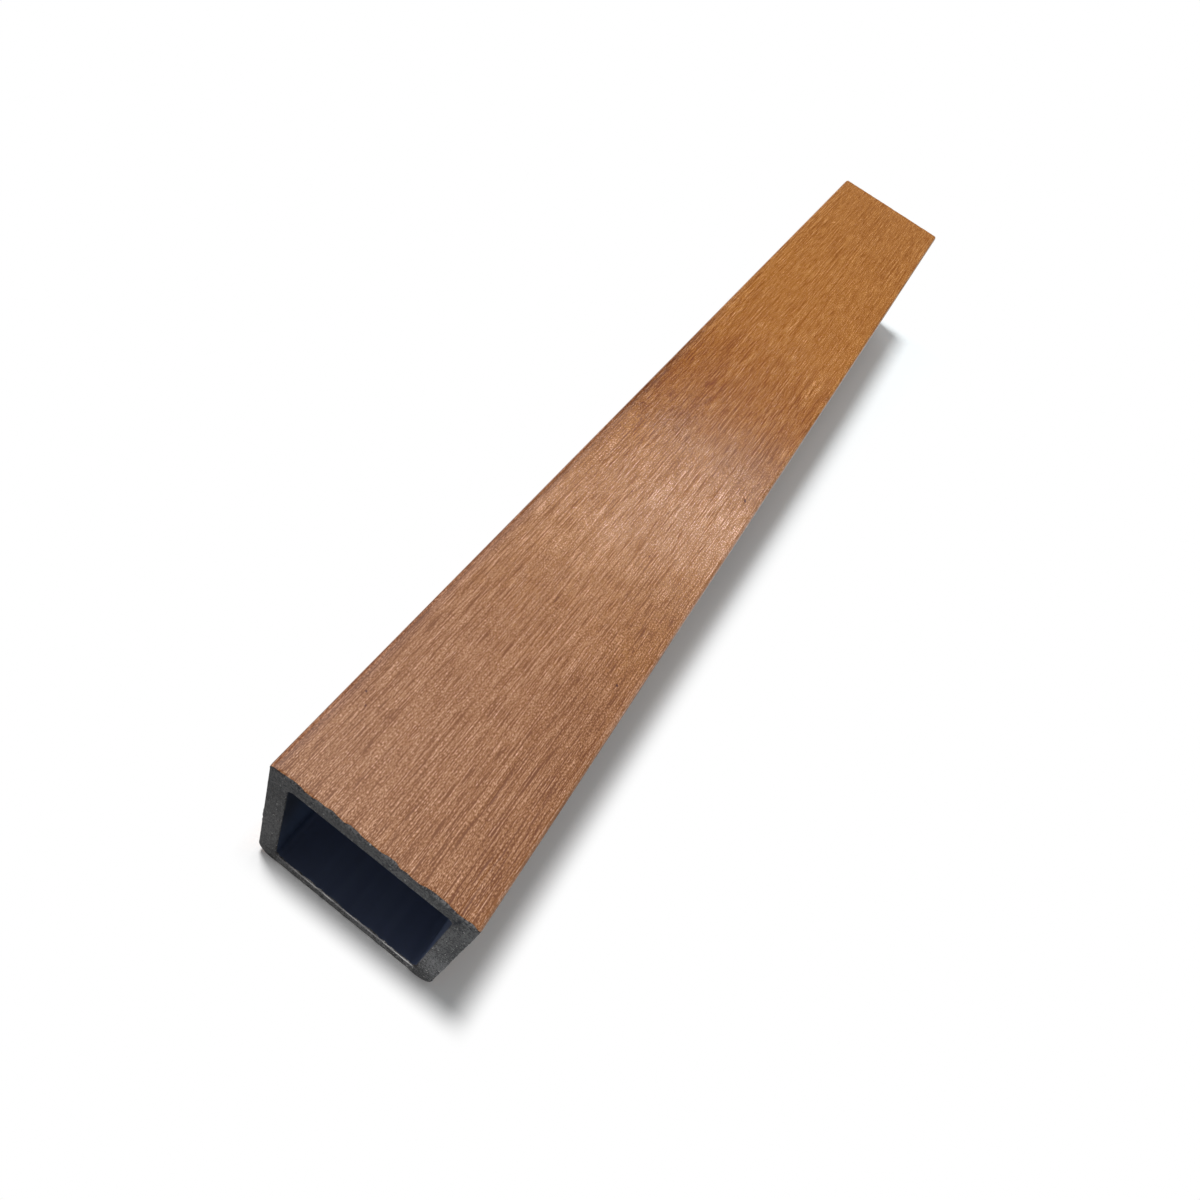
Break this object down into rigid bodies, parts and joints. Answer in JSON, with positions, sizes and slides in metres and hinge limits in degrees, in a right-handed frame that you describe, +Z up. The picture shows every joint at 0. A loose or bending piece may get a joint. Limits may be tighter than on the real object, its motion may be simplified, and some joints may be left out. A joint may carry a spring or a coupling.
{
  "type": "composite batten",
  "caption": "Short length of hollow square wood-plastic composite batten, wood-grain skin over a dark body, sawn square at both ends.",
  "frame": {"origin": "middle of the underside, on the plane that the batten lies on", "axes": "+X along the length, from the near sawn end in the picture to the far one; +Y across the width; +Z up, out of the face that the picture shows"},
  "size_m": [0.37, 0.05, 0.05],
  "materials": {
    "composite": "satin"
  },
  "bodies": {
    "root": {"batten": "composite"}
  },
  "joints": []
}
